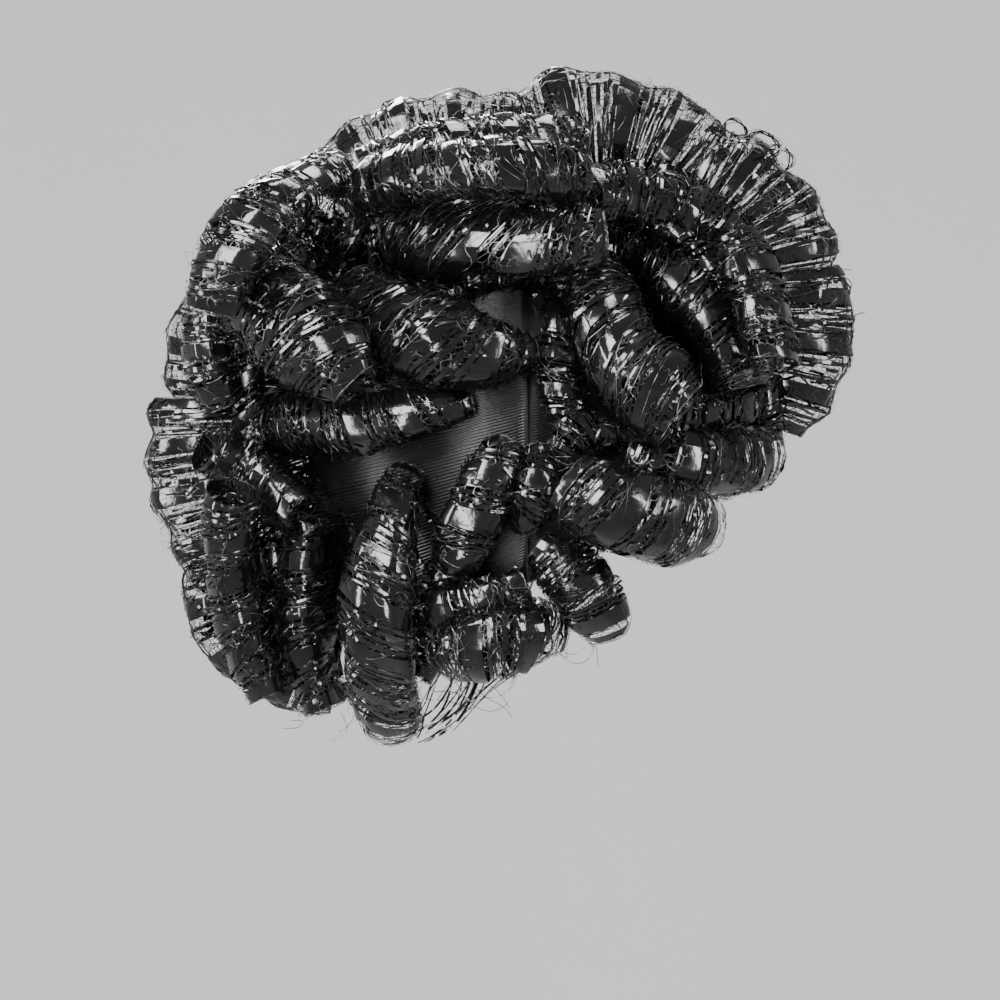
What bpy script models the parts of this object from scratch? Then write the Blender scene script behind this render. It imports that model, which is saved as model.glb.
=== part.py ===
"""Turban hat: a ribbed stretch cap covered all over with curls of see-through ruffle ribbon.

Each curl is a ribbon rolled into a hollow tube that is open at both ends, with its two edges
pinched into a foot that is sewn down to the cap or to the curl below it.
The frame has +X to the brow, +Y to the wearer's left and +Z up, and its origin is the inside top
of the cap, where the hat sits on a head. The lengths in the tables are millimetres.
"""
import math

import bpy
import numpy as np
from mathutils import Vector
from mathutils.bvhtree import BVHTree

MM = 0.001
GAP = 0.3
CAP_GAP = 0.6

# Cap: half sizes of its outside, from brow to back, from side to side and upward
CAP_HALF = np.array((99.0, 78.0, 103.0))
CAP_WALL = 2.0
CAP_CENTRE = np.array((0.0, 0.0, CAP_WALL - CAP_HALF[2]))
CAP_SEGMENTS = 24
CAP_ROWS = 8

# Cap's rim: a slanted plane, from the brow down to the nape
RIM_FRONT = (99.0, -96.0)
RIM_BACK = (-58.0, -183.0)

# Curls below the widest part of the cap hang down its sides instead of tucking in under it
HANGING_HALF = np.array((99.0, 78.0, 174.0))

# Ribbon and its section across a curl
RIBBON_WALL = 1.4
FOOT_WIDTH = 1.6
NECK_DROP = 1.2
EDGE_DROP = 0.5
SHORTEST_FOOT = 3.0
LONGEST_FOOT = 58.0
ARC_ANGLES = np.radians((-135, -90, -45, 0, 45, 90, 135))
PINCH_ANGLE = math.radians(170)
SIDE_DEPTH = 0.78
RING_WIDTH = 0.66
OUTER_STAND = 38.0

# Rings along a curl, and steps between rings when it is laid beside its neighbours
LONG_CURL = 62.0
RINGS = 5
SHORT_RINGS = 4
STEPS = 4
LIFT = 0.8
MOST_LIFTS = 400
SEAT_TRIES = 60
SEAT_SLACK = 0.15
SEAT_SHARE = 0.9
MOST_REACH = 45.0

# Ring of large curls round the outline, in the middle plane. Columns: x, z, reach
OUTLINE_CURLS = {
    "brow_curl": ((116, -72, 18), (122, -46, 23), (123, -20, 24)),
    "forelock_curl": ((114, -9, 23), (106, 13, 25), (86, 32, 24)),
    "crown_front_curl": ((72, 39, 22), (41, 53, 26), (8, 48, 25)),
    "crown_back_curl": ((-4, 43, 24), (-43, 44, 24), (-83, 26, 24)),
    "back_upper_curl": ((-96, 18, 22), (-122, -12, 24), (-139, -65, 23)),
    "back_lower_curl": ((-149, -78, 24), (-145, -108, 22), (-135, -140, 22)),
    "nape_curl": ((-133, -152, 22), (-121, -176, 22), (-98, -190, 21)),
}

# Curls of one side that lie on the cap, in the order in which they are laid. Columns: x, z, half width
INNER_CURLS = {
    "finger_curl": ((-110, -80, 12), (-72, -80, 12), (-31, -73, 7)),
    "ear_curl": ((-11, -94, 9), (-22, -117, 14), (-32, -140, 11)),
    "ear_loop": ((4, -98, 7), (3, -110, 8), (-1, -122, 7)),
    "forehead_curl": ((50, -95, 12), (78, -98, 14), (101, -96, 13)),
    "nape_inner_curl": ((-99, -128, 11), (-102, -160, 12), (-94, -204, 12)),
    "back_arch": ((-85, 12, 12), (-79, 1, 14), (-72, -12, 13)),
    "back_hook": ((-106, 22, 12), (-107, 8, 12), (-104, -8, 12)),
    "side_curl": ((-72, -24, 15), (-43, -44, 20), (-4, -49, 10)),
    "back_curl": ((-135, -10, 17), (-108, -33, 22), (-79, -61, 15)),
    "cheek_curl": ((31, -20, 15), (42, -51, 20), (62, -74, 19)),
    "top_curl": ((-54, 4, 15), (-13, 1, 20), (28, 1, 15)),
    "brow_side_curl": ((52, -4, 13), (78, -27, 17), (94, -60, 17)),
    "lobe_curl": ((-52, -167, 10), (-30, -163, 12), (-6, -155, 10)),
    "jaw_curl": ((-33, -182, 11), (-14, -177, 14), (6, -173, 12)),
    "temple_fan": ((8, -138, 10), (24, -154, 14), (33, -168, 12)),
    "temple_curl": ((22, -110, 15), (44, -120, 20), (73, -126, 15)),
    "nape_side_curl": ((-56, -108, 10), (-66, -155, 16), (-62, -212, 12)),
    "back_finger": ((-140, -92, 15), (-121, -105, 13), (-104, -119, 10)),
}

# Curls of one side that stand out over the inner ones. Columns: x, z, half width
OUTER_CURLS = {
    "crown_wing_curl": ((-70, 36, 13), (-22, 46, 14), (22, 45, 13)),
    "crown_side_curl": ((-66, 26, 14), (-24, 31, 15), (18, 28, 14)),
    "crown_fore_curl": ((32, 22, 14), (58, 20, 15), (84, 8, 14)),
    "forelock_side_curl": ((94, -2, 13), (102, -24, 14), (107, -50, 14)),
    "back_shoulder_curl": ((-92, 28, 15), (-122, 6, 16), (-138, -26, 15)),
    "back_nub": ((-146, -38, 11), (-144, -52, 12), (-139, -66, 11)),
    "nape_outer_curl": ((-132, -116, 14), (-131, -157, 15), (-119, -198, 12)),
}

# Materials: colour, roughness, metallic
CAP_FINISH = ((0.012, 0.012, 0.013), 0.75, 0.0)
RIBBON_FINISH = ((0.010, 0.010, 0.012), 0.22, 0.0)


def clear_scene():
    for obj in list(bpy.data.objects):
        bpy.data.objects.remove(obj, do_unlink=True)


def unit(vectors):
    return vectors / np.linalg.norm(vectors, axis=-1, keepdims=True)


def finish(name, values):
    """A material of the piece's own with its colour, roughness and metallic value."""
    colour, roughness, metallic = values
    material = bpy.data.materials.new(name)
    material.use_nodes = True
    shader = material.node_tree.nodes["Principled BSDF"]
    shader.inputs["Base Color"].default_value = (*colour, 1.0)
    shader.inputs["Roughness"].default_value = roughness
    shader.inputs["Metallic"].default_value = metallic
    return material


def add_piece(name, points, faces, values):
    """Makes a smooth-shaded object from points in millimetres."""
    mesh = bpy.data.meshes.new(name)
    mesh.from_pydata([Vector(p) * MM for p in points], [], faces)
    mesh.shade_smooth()
    mesh.set_sharp_from_angle(angle=math.radians(50))
    piece = bpy.data.objects.new(name, mesh)
    piece.data.materials.append(finish(name, values))
    bpy.context.scene.collection.objects.link(piece)
    return piece


def rim_angle(half, heading):
    """Angle down from the cap's top, at one heading round it, at which the rim's plane is met."""
    slope = (RIM_FRONT[1] - RIM_BACK[1]) / (RIM_FRONT[0] - RIM_BACK[0])
    drop = RIM_FRONT[1] - slope * RIM_FRONT[0] - CAP_CENTRE[2]
    along = half[2]
    across = -slope * half[0] * math.cos(heading)
    return math.atan2(across, along) + math.acos(drop / math.hypot(along, across))


def dome_points(half):
    """Points of one face of the cap: its top, then rows down to the rim."""
    points = [CAP_CENTRE + (0, 0, half[2])]
    for row in range(1, CAP_ROWS + 1):
        for step in range(CAP_SEGMENTS):
            heading = math.tau * step / CAP_SEGMENTS
            down = rim_angle(half, heading) * row / CAP_ROWS
            around = (math.cos(heading) * math.sin(down), math.sin(heading) * math.sin(down), math.cos(down))
            points.append(CAP_CENTRE + half * around)
    return points


def dome_faces(first, outward):
    """Faces of one side of the cap, with its points starting at first."""
    faces = []
    for step in range(CAP_SEGMENTS):
        after = (step + 1) % CAP_SEGMENTS
        faces.append((first, first + 1 + step, first + 1 + after))
        for row in range(CAP_ROWS - 1):
            top = first + 1 + row * CAP_SEGMENTS
            low = top + CAP_SEGMENTS
            if step < CAP_SEGMENTS / 2:
                faces.append((top + step, low + step, low + after))
                faces.append((top + step, low + after, top + after))
            else:
                faces.append((top + step, low + step, top + after))
                faces.append((low + step, low + after, top + after))
    return faces if outward else [face[::-1] for face in faces]


def make_cap():
    """The stretch cap: a thin dome with a slanted rim, open below."""
    outside = dome_points(CAP_HALF)
    inside = dome_points(CAP_HALF - CAP_WALL)
    faces = dome_faces(0, True) + dome_faces(len(outside), False)
    rim = 1 + (CAP_ROWS - 1) * CAP_SEGMENTS
    for step in range(CAP_SEGMENTS):
        after = (step + 1) % CAP_SEGMENTS
        inner = len(outside) + rim
        faces.append((rim + step, inner + step, inner + after, rim + after))
    add_piece("cap", outside + inside, faces, CAP_FINISH)
    return BVHTree.FromPolygons([Vector(p) for p in outside], dome_faces(0, True))


def from_cap(points):
    """Distance of points from the surface that the curls lie on, and its outward direction there."""
    away = points - CAP_CENTRE
    half = np.where(away[:, 2:] < 0, HANGING_HALF, CAP_HALF)
    near = np.linalg.norm(away / half, axis=1)
    slope = away / half**2
    steep = np.linalg.norm(slope, axis=1)
    return near * (near - 1) / steep, slope / steep[:, None]


def away_from(tree, points):
    """Direction at each point away from the nearest spot of a surface."""
    spots = np.array([tree.find_nearest(Vector(point))[0] for point in points])
    return unit(points - spots)


def depth_at(rows, stand):
    """How far from the middle plane a shell round the cap lies at each station, at a stand off it."""
    half = CAP_HALF + stand
    across = (rows[:, 0] / half[0]) ** 2 + ((rows[:, 1] - CAP_CENTRE[2]) / half[2]) ** 2
    return half[1] * np.sqrt(np.clip(1 - across, 0, 1))


def through(stations, shares):
    """Points of the smooth curve through a few stations, at shares of its length from 0 to 1."""
    steps = np.linalg.norm(np.diff(stations[:, :3], axis=0), axis=1)
    knots = np.concatenate(((0.0,), np.cumsum(steps))) / steps.sum()
    result = np.zeros((len(shares), stations.shape[1]))
    for i, station in enumerate(stations):
        others = np.delete(knots, i)
        weight = np.prod((shares[:, None] - others) / (knots[i] - others), axis=1)
        result += weight[:, None] * station
    return result


class Curl:
    """One curl: rings along its path, each with a centre, a side and an outward half size."""

    def __init__(self, stations, in_outline, stand, cap_tree):
        self.rows = np.array(stations, float)
        self.cap_tree = cap_tree
        self.in_outline = in_outline
        length = np.linalg.norm(np.diff(self.rows[:, :2], axis=0), axis=1).sum()
        self.rings = RINGS if length > LONG_CURL else SHORT_RINGS
        self.out = depth_at(self.rows, stand) if stand else np.zeros(len(self.rows))
        self.feet = np.zeros(self.rings)

    def place(self):
        """Works out the rings from the stations and how far out from the middle plane they are."""
        x, z, reach = self.rows.T
        path = through(np.column_stack((x, -self.out, z, reach)), np.linspace(0, 1, self.rings))
        self.centres = path[:, :3]
        along = unit(np.gradient(self.centres, axis=0))
        outward = unit(from_cap(self.centres)[1] + away_from(self.cap_tree, self.centres))
        self.side = unit(np.cross(along, outward))
        self.outward = np.cross(self.side, along)
        if self.in_outline:
            self.high = path[:, 3]
            self.wide = path[:, 3] * RING_WIDTH
        else:
            self.wide = path[:, 3]
            self.high = path[:, 3] * SIDE_DEPTH

    def between(self, values):
        """Values on the straight runs between rings."""
        at = np.linspace(0, self.rings - 1, (self.rings - 1) * STEPS + 1)
        values = np.asarray(values, float)
        low = np.minimum(at.astype(int), self.rings - 2)
        share = (at - low).reshape(-1, *(1,) * (values.ndim - 1))
        return values[low] * (1 - share) + values[low + 1] * share

    def balls(self):
        """Balls that hold the curl's roll: their centres and radii."""
        centres = self.between(self.centres)
        wide, high = self.between(self.wide), self.between(self.high)
        longer = self.between(self.outward if self.in_outline else self.side)
        radius = np.minimum(wide, high)
        spread = (np.maximum(wide, high) - radius)[:, None] * longer
        points = np.concatenate([centres + share * spread for share in (-1, 0, 1)])
        return points, np.tile(radius, 3)

    def foot_balls(self):
        """Small balls that hold the curl's foot."""
        centres, outward = self.between(self.centres), self.between(self.outward)
        high, feet = self.between(self.high), self.between(self.feet)
        shares = np.linspace(0, 1, 9)[:, None]
        drop = high + (feet - high) * shares
        points = (centres - drop[:, :, None] * outward).reshape(-1, 3)
        return points, np.full(len(points), FOOT_WIDTH / 2)


def crowding(curl, laid):
    """How deep a curl reaches into the cap, the middle plane or the curls laid before, run by run."""
    points, radii = curl.balls()
    deep = radii + NECK_DROP + EDGE_DROP + GAP - from_cap(points)[0]
    if not curl.in_outline:
        deep = np.maximum(deep, points[:, 1] + radii + GAP)
    for other_points, other_radii in laid:
        apart = np.linalg.norm(points[:, None] - other_points, axis=2) - other_radii
        deep = np.maximum(deep, radii + GAP - apart.min(axis=1))
    return deep.reshape(3, -1).max(axis=0)


def lift_clear(curl, laid):
    """Moves a side curl away from the middle plane until it clears everything laid before it."""
    stations = len(curl.rows)
    for _ in range(MOST_LIFTS):
        curl.place()
        deep = crowding(curl, laid)
        if deep.max() <= 0:
            return
        worst = deep.argmax() / (len(deep) - 1) * (stations - 1)
        curl.out += LIFT * np.clip(1.25 - np.abs(np.arange(stations) - worst), 0, 1)
    raise RuntimeError("a curl finds no place beside the others")


def reach_feet(curl, laid, cap_tree):
    """Lengthens a curl's foot at each ring until it is seated on the cap or on a curl below."""
    centres, outward = curl.between(curl.centres), unit(curl.between(curl.outward))
    high = curl.between(curl.high)
    points = np.concatenate([p for p, _ in laid]) if laid else np.zeros((0, 3))
    radii = np.concatenate([r for _, r in laid]) if laid else np.zeros(0)
    seats = []
    for centre, away, height in zip(centres, outward, high):
        spot, facing, _, depth = cap_tree.ray_cast(Vector(centre), Vector(-away), LONGEST_FOOT)
        seat = height + SHORTEST_FOOT
        if spot:
            square = abs(facing.dot(Vector(away)))
            seat = depth - (GAP + FOOT_WIDTH / 2 * math.sqrt(1 - square**2)) / square
        for drop in np.arange(height, seat, 0.25):
            tip = centre - drop * away
            if len(points) and (np.linalg.norm(points - tip, axis=1) - radii).min() < GAP + FOOT_WIDTH / 2:
                seat = drop
                break
        seats.append(max(seat - height, 0.0))
    for ring in range(curl.rings):
        first = max(0, (ring - 1) * STEPS)
        curl.feet[ring] = curl.high[ring] + min(seats[first : (ring + 1) * STEPS + 1])
    shorten_feet(curl, points, radii, cap_tree)


def shorten_feet(curl, points, radii, cap_tree):
    """Takes a foot back where its edge, between two rings, would still reach into what is below."""
    for _ in range(MOST_LIFTS):
        tips = curl.between(curl.centres - curl.feet[:, None] * curl.outward)
        edges = FOOT_WIDTH / 2 * curl.between(curl.side)
        deep = np.zeros(len(tips))
        for i, tip in enumerate(tips):
            for edge in (tip - edges[i], tip + edges[i]):
                spot, facing, _, _ = cap_tree.find_nearest(Vector(edge))
                deep[i] = max(deep[i], CAP_GAP - facing.dot(Vector(edge) - spot))
            if len(points):
                apart = np.linalg.norm(points - tip, axis=1) - radii
                deep[i] = max(deep[i], GAP / 2 + FOOT_WIDTH / 2 - apart.min())
        if deep.max() <= 0:
            return
        worst = deep.argmax() / STEPS
        near = np.abs(np.arange(curl.rings) - worst) < 1
        if (curl.feet[near] <= curl.high[near]).all():
            return
        curl.feet[near] = np.maximum(curl.feet[near] - 0.25, curl.high[near])


def tree_of(curl):
    """Search tree of a curl's surface and, where it isn't in the middle plane, of its mirror image."""
    points, faces = curl_mesh(curl)
    sides = (1,) if curl.in_outline else (1, -1)
    return [BVHTree.FromPolygons([Vector(p * (1, side, 1)) for p in points], faces) for side in sides]


def room_below(curl, trees):
    """Smallest distance from the edge of a curl's foot to any of the surfaces."""
    tips = curl.between(curl.centres - curl.feet[:, None] * curl.outward)
    half = FOOT_WIDTH / 2 * curl.between(curl.side)
    edges = [Vector(edge) for edge in np.concatenate((tips - half, tips + half))]
    return min(tree.find_nearest(edge)[3] for edge in edges for tree in trees)


def seat_feet(curls, cap_tree):
    """Lengthens each foot as one until it is within a gap's width of the cap or a curl below."""
    trees = {name: tree_of(curl) for name, curl in curls.items()}
    for name, curl in curls.items():
        others = [cap_tree] + [tree for other in curls if other != name for tree in trees[other]]
        before = curl.feet.copy()
        for _ in range(SEAT_TRIES):
            room = room_below(curl, others)
            if room < GAP + SEAT_SLACK:
                break
            curl.feet += (room - GAP) * SEAT_SHARE
        if room >= GAP + SEAT_SLACK or (curl.feet - before).max() > MOST_REACH:
            curl.feet = before
        trees[name] = tree_of(curl)


def lay_curls(cap_tree):
    """Every curl of the middle plane and of one side, each laid beside or over the ones before."""
    curls, laid = {}, []
    for table, stand in ((OUTLINE_CURLS, 0), (INNER_CURLS, 0), (OUTER_CURLS, OUTER_STAND)):
        in_outline = table is OUTLINE_CURLS
        for name, stations in table.items():
            curl = Curl(stations, in_outline, stand, cap_tree)
            if in_outline:
                curl.place()
            else:
                lift_clear(curl, laid)
            reach_feet(curl, laid, cap_tree)
            laid += [curl.balls(), curl.foot_balls()]
            curls[name] = curl
    seat_feet(curls, cap_tree)
    return curls


def section(wide, high, foot):
    """Outer and inner points across one ring, as (side, outward) pairs."""
    outer = [(wide * math.sin(a), high * math.cos(a)) for a in ARC_ANGLES]
    neck = -min(high + NECK_DROP, foot - EDGE_DROP)
    half, edge = FOOT_WIDTH / 2, -foot
    outer += [(half, neck), (half, edge), (-half, edge), (-half, neck)]
    wide, high = wide - RIBBON_WALL, high - RIBBON_WALL
    angles = (*ARC_ANGLES, PINCH_ANGLE, -PINCH_ANGLE)
    inner = [(wide * math.sin(a), high * math.cos(a)) for a in angles]
    return outer, inner


def curl_faces(rings, outer, inner):
    """Faces of a curl: its outside, its inside and the ribbon's edge at each end."""
    ring_size = outer + inner
    faces = []
    for ring in range(rings - 1):
        base, after = ring * ring_size, (ring + 1) * ring_size
        for i in range(outer):
            j = (i + 1) % outer
            faces.append((base + i, base + j, after + j, after + i))
        for i in range(inner):
            j = (i + 1) % inner
            faces.append((base + outer + i, after + outer + i, after + outer + j, base + outer + j))
    arc = len(ARC_ANGLES)
    rim = [*range(arc), arc, arc + 3]
    for base, at_start in ((0, True), ((rings - 1) * ring_size, False)):
        end = [(base + arc, base + arc + 3, base + arc + 2, base + arc + 1)]
        for i in range(inner):
            j = (i + 1) % inner
            end.append((base + rim[i], base + outer + i, base + outer + j, base + rim[j]))
        faces += end if at_start else [face[::-1] for face in end]
    return faces


def curl_mesh(curl):
    """Points and triangles of a curl."""
    points = []
    for centre, side, away, wide, high, foot in zip(
        curl.centres, curl.side, curl.outward, curl.wide, curl.high, curl.feet
    ):
        outer, inner = section(wide, high, foot)
        points += [centre + a * side + b * away for a, b in outer + inner]
    faces = []
    for a, b, c, d in curl_faces(curl.rings, len(outer), len(inner)):
        faces += [(a, b, c), (a, c, d)]
    return points, faces


def make_curl(name, curl, mirrored):
    points, faces = curl_mesh(curl)
    if mirrored:
        points = [p * (1, -1, 1) for p in points]
        faces = [face[::-1] for face in faces]
    add_piece(name, points, faces, RIBBON_FINISH)


def main():
    clear_scene()
    cap_tree = make_cap()
    for name, curl in lay_curls(cap_tree).items():
        if curl.in_outline:
            make_curl(name, curl, False)
        else:
            make_curl(f"right_{name}", curl, False)
            make_curl(f"left_{name}", curl, True)


main()
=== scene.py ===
"""Turban hat: ribbed stretch cap and curls of see-through ruffle ribbon, dressed round the fixed frame.

The file is laid out as a Blender add-on and is run as a script. Lengths are metres, and the tables
of curls are millimetres in the hat's own frame: +X to the brow, +Y to the wearer's left, +Z up.
"""
import math

import bpy
import numpy as np
from bpy.props import FloatProperty, FloatVectorProperty, PointerProperty
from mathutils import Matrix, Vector
from mathutils.bvhtree import BVHTree


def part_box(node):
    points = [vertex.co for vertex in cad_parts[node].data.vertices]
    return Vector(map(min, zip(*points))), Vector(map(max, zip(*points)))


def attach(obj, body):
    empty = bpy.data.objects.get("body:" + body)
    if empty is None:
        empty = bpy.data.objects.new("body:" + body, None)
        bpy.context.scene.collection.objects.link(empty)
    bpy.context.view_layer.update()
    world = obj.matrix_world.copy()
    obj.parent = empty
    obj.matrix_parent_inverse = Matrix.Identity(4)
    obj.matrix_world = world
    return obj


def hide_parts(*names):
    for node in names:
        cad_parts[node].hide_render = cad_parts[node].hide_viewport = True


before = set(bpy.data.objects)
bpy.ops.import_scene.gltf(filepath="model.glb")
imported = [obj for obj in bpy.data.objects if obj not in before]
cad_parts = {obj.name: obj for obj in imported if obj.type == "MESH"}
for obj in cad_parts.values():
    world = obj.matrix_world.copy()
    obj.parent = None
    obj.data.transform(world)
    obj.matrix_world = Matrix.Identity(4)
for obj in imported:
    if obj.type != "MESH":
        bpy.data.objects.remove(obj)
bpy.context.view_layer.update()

bl_info = {
    "name": "Ruffled turban hat",
    "version": (1, 0, 0),
    "blender": (4, 5, 0),
    "location": "View3D > Sidebar > Hat",
    "description": "Builds the cap, the ruffle ribbon and the studio of a turban hat",
    "category": "Add Mesh",
}

MM = 0.001

# The cap is an oval dome that a slanted rim cuts off. The curls below its middle follow a longer dome
CAP_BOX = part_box("cap")
CAP_HEIGHT = 103 * MM
HANGING_HEIGHT = 174 * MM
CAP_WALL = 2 * MM
CAP_HALF = np.array(((CAP_BOX[1].x - CAP_BOX[0].x) / 2, (CAP_BOX[1].y - CAP_BOX[0].y) / 2, CAP_HEIGHT))
CAP_CENTRE = np.array((0.0, 0.0, CAP_BOX[1].z - CAP_HEIGHT))
HANGING_HALF = np.array((CAP_HALF[0], CAP_HALF[1], HANGING_HEIGHT))
RIM_FRONT = (99 * MM, -96 * MM)
RIM_BACK = (-58 * MM, -183 * MM)

# The cloth's surface: heights at a rib's four rows, the seam's height as a share of a rib's, the height
# of the turned hem, the share of the way from top to rim at which it starts, and how far all of it is sunk
RIB_PROFILE = np.array((0, 0.4, 1, 0.4))
SEAM_SHARE = 0.5
HEM_HEIGHT = 0.5 * MM
HEM_START = 0.955
CLOTH_SUNK = 0.15 * MM

# How a curl's section follows from its half width, or on the outline from its reach, as in the frame
SIDE_DEPTH = 0.78
RING_WIDTH = 0.66
ROLL_HALF_ANGLE = math.radians(150)
PINCH = 0.8 * MM

# Shares of a ribbon's half width: what goes round the roll, and what parted strips leave free of the ridge
ROLL_SHARE = 0.78
RIDGE = 0.20

# A roll narrows over END_RUN at each end, and the foot of an open end comes to full length over OPEN_RUN
END_RUN = 16 * MM
OUTLINE_NARROWING = 0.26
SIDE_NARROWING = 0.12
OPEN_RUN = 26 * MM

# Waves in a roll's section. Columns: height as a share of the half width, radians for each metre along
# the curl, waves round the roll
SWELLS = ((0.06, 95, 0), (0.06, 40, 2), (0.04, -150, 3))
# Height of the scallops on the outline's ridge, and the angle over which they fade to its sides
SCALLOP = 2.0 * MM
SCALLOP_SPREAD = 0.7
# Distance from the middle plane that lies outside the whole hat, and how deep a foot can reach
OUTSIDE = 0.3
DEEPEST_FOOT = 0.08

# Curls by region. Columns: x, z, half width (outline: reach)
OUTLINE = {
    "brow_curl": ((116, -72, 18), (122, -46, 23), (123, -20, 24)),
    "forelock_curl": ((114, -9, 23), (106, 13, 25), (86, 32, 24)),
    "crown_front_curl": ((72, 39, 22), (41, 53, 26), (8, 48, 25)),
    "crown_back_curl": ((-4, 43, 24), (-43, 44, 24), (-83, 26, 24)),
    "back_upper_curl": ((-96, 18, 22), (-122, -12, 24), (-139, -65, 23)),
    "back_lower_curl": ((-149, -78, 24), (-145, -108, 22), (-135, -140, 22)),
    "nape_curl": ((-133, -152, 22), (-121, -176, 22), (-98, -190, 21)),
}
# Outline curls whose foot shortens towards an open end of the ring: 0 for the first end, 1 for the last
OPEN_ENDS = {"brow_curl": 0, "nape_curl": 1}
REGIONS = {
    "crown": {
        "crown_wing_curl": ((-70, 36, 13), (-22, 46, 14), (22, 45, 13)),
        "crown_side_curl": ((-66, 26, 14), (-24, 31, 15), (18, 28, 14)),
        "crown_fore_curl": ((32, 22, 14), (58, 20, 15), (84, 8, 14)),
        "top_curl": ((-54, 4, 15), (-13, 1, 20), (28, 1, 15)),
    },
    "brow": {
        "forelock_side_curl": ((94, -2, 13), (102, -24, 14), (107, -50, 14)),
        "brow_side_curl": ((52, -4, 13), (78, -27, 17), (94, -60, 17)),
        "cheek_curl": ((31, -20, 15), (42, -51, 20), (62, -74, 19)),
        "forehead_curl": ((50, -95, 12), (78, -98, 14), (101, -96, 13)),
    },
    "temple": {
        "temple_curl": ((22, -110, 15), (44, -120, 20), (73, -126, 15)),
        "temple_fan": ((8, -138, 10), (24, -154, 14), (33, -168, 12)),
        "ear_curl": ((-11, -94, 9), (-22, -117, 14), (-32, -140, 11)),
        "ear_loop": ((4, -98, 7), (3, -110, 8), (-1, -122, 7)),
    },
    "side": {
        "side_curl": ((-72, -24, 15), (-43, -44, 20), (-4, -49, 10)),
        "back_curl": ((-135, -10, 17), (-108, -33, 22), (-79, -61, 15)),
        "finger_curl": ((-110, -80, 12), (-72, -80, 12), (-31, -73, 7)),
        "back_arch": ((-85, 12, 12), (-79, 1, 14), (-72, -12, 13)),
        "back_hook": ((-106, 22, 12), (-107, 8, 12), (-104, -8, 12)),
    },
    "back": {
        "back_shoulder_curl": ((-92, 28, 15), (-122, 6, 16), (-138, -26, 15)),
        "back_nub": ((-146, -38, 11), (-144, -52, 12), (-139, -66, 11)),
        "back_finger": ((-140, -92, 15), (-121, -105, 13), (-104, -119, 10)),
        "nape_outer_curl": ((-132, -116, 14), (-131, -157, 15), (-119, -198, 12)),
    },
    "nape": {
        "nape_inner_curl": ((-99, -128, 11), (-102, -160, 12), (-94, -204, 12)),
        "nape_side_curl": ((-56, -108, 10), (-66, -155, 16), (-62, -212, 12)),
        "lobe_curl": ((-52, -167, 10), (-30, -163, 12), (-6, -155, 10)),
        "jaw_curl": ((-33, -182, 11), (-14, -177, 14), (6, -173, 12)),
    },
}

# Small curls that fill the hollows under the others.
# Columns: x, z, half width, distance from the middle plane
UNDER = {
    "crown": {
        "top_under": ((-50, -34, 8, 50), (-8, -12, 8, 50), (40, -26, 8, 50)),
        "ridge_under": ((-62, 22, 8, 15), (-20, 26, 8, 15), (26, 26, 8, 15)),
        "fore_under": ((40, 32, 9, 20), (66, 26, 10, 22), (90, 8, 9, 24)),
    },
    "brow": {
        "forelock_under": ((58, 12, 9, 36), (82, -8, 9, 38), (96, -36, 9, 36)),
        "brow_under": ((94, -16, 9, 15), (104, -48, 10, 14), (108, -82, 9, 15)),
        "temple_under": ((58, -78, 9, 64), (78, -76, 10, 54), (98, -70, 9, 30)),
    },
    "temple": {
        "cheek_under": ((16, -92, 8, 88), (27, -84, 9, 86), (40, -84, 8, 80)),
    },
    "side": {
        "side_under": ((-92, -26, 9, 20), (-82, -10, 10, 18), (-66, 10, 9, 16)),
        "seam_under": ((14, -28, 7, 60), (13, -54, 8, 76), (17, -80, 7, 83)),
    },
    "back": {
        "shoulder_under": ((-98, 6, 9, 32), (-110, -18, 10, 34), (-118, -46, 9, 34)),
        "back_under": ((-126, -44, 9, 15), (-124, -84, 10, 16), (-114, -118, 9, 15)),
        "nape_under": ((-118, -124, 9, 14), (-112, -148, 10, 16), (-96, -172, 9, 15)),
    },
    "nape": {
        "lobe_under": ((-48, -188, 9, 62), (-40, -166, 10, 62), (-38, -146, 8, 66)),
    },
}

# How far a curl's strips lean along it, as a share of its length. The outline's don't lean, and the
# others lean either way by chance, up to LEAN_BY_CHANCE
LEANS = {
    "top_curl": -0.34,
    "crown_side_curl": 0.12,
    "crown_wing_curl": 0.10,
    "cheek_curl": 0.24,
    "side_curl": -0.22,
}
LEAN_BY_CHANCE = 0.15

# Where the cap's cloth shows between the curls. Columns: lowest and highest x, lowest and highest z
BARE_CLOTH = MM * np.array(
    (
        (-88, -14, -122, -80),
        (-12, 4, -60, -28),
        (-4, 4, -94, -60),
        (12, 28, -80, -68),
    )
)

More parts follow.
